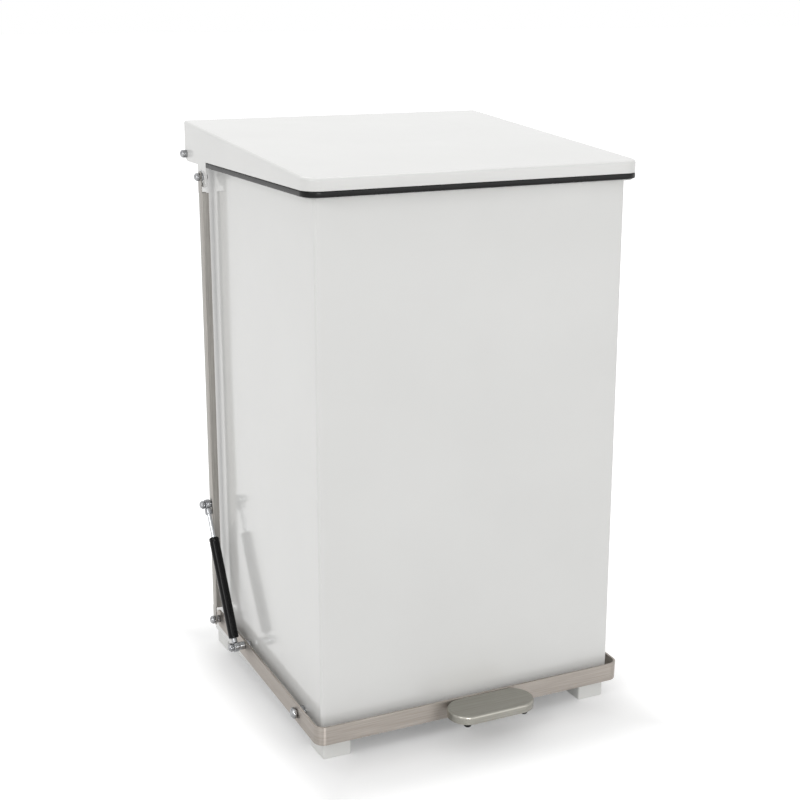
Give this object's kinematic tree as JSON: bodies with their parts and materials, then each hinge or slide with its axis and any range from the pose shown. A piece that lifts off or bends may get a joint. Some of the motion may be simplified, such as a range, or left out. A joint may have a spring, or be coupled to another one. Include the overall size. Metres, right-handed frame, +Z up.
{
  "type": "step-on waste bin",
  "caption": "Rectangular painted steel waste bin with a wedge-shaped hinged lid, foot pedal frame, lift rods and a side damper.",
  "frame": {"origin": "on the floor, under the middle of the overall box, which runs from the damper nut to the right rod bolt and from the pedal to the lid's rear edge", "axes": "+X to the right seen from the front, +Y from the pedal to the hinge, +Z up"},
  "size_m": [0.4804, 0.4868, 0.7617],
  "materials": {
    "white_paint": "powder coat, satin gloss",
    "white_plastic": "moulded, satin",
    "grey_plastic": "moulded, fine grain",
    "black_rubber": "moulded, matte",
    "brushed_steel": "brushed along its length",
    "black_paint": "satin black",
    "chrome": "polished",
    "zinc_steel": "bright zinc plate"
  },
  "bodies": {
    "base": {"body_shell": "white_paint", "base_pan": "white_paint", "inner_liner": "grey_plastic", "foot_front_left": "white_plastic", "foot_screw_front_left": "zinc_steel", "foot_front_right": "white_plastic", "foot_screw_front_right": "zinc_steel", "foot_rear_left": "white_plastic", "foot_screw_rear_left": "zinc_steel", "foot_rear_right": "white_plastic", "foot_screw_rear_right": "zinc_steel", "hinge_bracket_left": "white_paint", "bracket_rivet_left_1": "zinc_steel", "bracket_rivet_left_2": "zinc_steel", "pivot_bolt_left": "zinc_steel", "pivot_spacer_left": "zinc_steel", "pivot_nut_left": "zinc_steel", "hinge_bracket_right": "white_paint", "bracket_rivet_right_1": "zinc_steel", "bracket_rivet_right_2": "zinc_steel", "pivot_bolt_right": "zinc_steel", "pivot_spacer_right": "zinc_steel", "pivot_nut_right": "zinc_steel"},
    "lid": {"lid_shell": "white_paint", "lid_gasket": "black_rubber", "hinge_axle": "zinc_steel", "hinge_nut_left": "zinc_steel", "hinge_nut_right": "zinc_steel"},
    "pedal": {"pedal_frame": "brushed_steel", "pedal_pad": "brushed_steel", "pedal_bumper_left": "black_rubber", "pedal_bumper_right": "black_rubber", "rod_lower_bolt_left": "zinc_steel", "rod_lower_nut_left": "zinc_steel", "rod_lower_spacer_left": "zinc_steel", "rod_lower_bolt_right": "zinc_steel", "rod_lower_nut_right": "zinc_steel", "rod_lower_spacer_right": "zinc_steel", "damper_lower_bolt": "zinc_steel", "damper_lower_spacer": "zinc_steel", "damper_lower_nut": "zinc_steel"},
    "left_rod": {"lift_rod_left": "brushed_steel", "rod_upper_bolt_left": "zinc_steel", "rod_upper_nut_left": "zinc_steel", "rod_upper_washer_left": "zinc_steel", "damper_upper_bolt": "zinc_steel", "damper_upper_washer": "zinc_steel", "damper_upper_nut": "zinc_steel"},
    "right_rod": {"lift_rod_right": "brushed_steel", "rod_upper_bolt_right": "zinc_steel", "rod_upper_nut_right": "zinc_steel", "rod_upper_washer_right": "zinc_steel"},
    "damper_barrel": {"damper_cylinder": "black_paint", "damper_lower_eye": "zinc_steel"},
    "damper_piston": {"damper_piston_rod": "chrome", "damper_upper_eye": "zinc_steel"}
  },
  "joints": [
    {"name": "pedal_hinge", "type": "hinge", "parent": "base", "child": "pedal", "pos_m": [0.00475, -0.12162, 0.044], "axis": [1, 0, 0], "range_deg": [0, 10]},
    {"name": "lid_hinge", "type": "hinge", "parent": "base", "child": "lid", "pos_m": [0.00475, 0.23338, 0.7175], "axis": [-1, 0, 0], "range_deg": [0, 43.6]},
    {"name": "left_rod_hinge", "type": "hinge", "parent": "pedal", "child": "left_rod", "pos_m": [-0.22225, 0.17138, 0.058], "axis": [1, 0, 0], "range_deg": [-10.3, 0]},
    {"name": "right_rod_hinge", "type": "hinge", "parent": "pedal", "child": "right_rod", "pos_m": [0.23175, 0.17138, 0.058], "axis": [1, 0, 0], "range_deg": [-10.3, 0]},
    {"name": "damper_swing", "type": "hinge", "parent": "pedal", "child": "damper_barrel", "pos_m": [-0.22925, 0.06788, 0.05906], "axis": [1, 0, 0], "range_deg": [-7.5, 0]},
    {"name": "damper_stroke", "type": "slide", "parent": "damper_barrel", "child": "damper_piston", "axis": [0, 0.5092, 0.8606], "range_m": [0, 0.0155]}
  ],
  "couplings": [
    {"joint": "lid_hinge", "follows": "pedal_hinge", "ratio": 4.35},
    {"joint": "left_rod_hinge", "follows": "pedal_hinge", "ratio": -1.0248},
    {"joint": "right_rod_hinge", "follows": "pedal_hinge", "ratio": -1.0248},
    {"joint": "damper_swing", "follows": "pedal_hinge", "ratio": -0.7486},
    {"joint": "damper_stroke", "follows": "pedal_hinge", "m_per_rad": 0.088769}
  ]
}
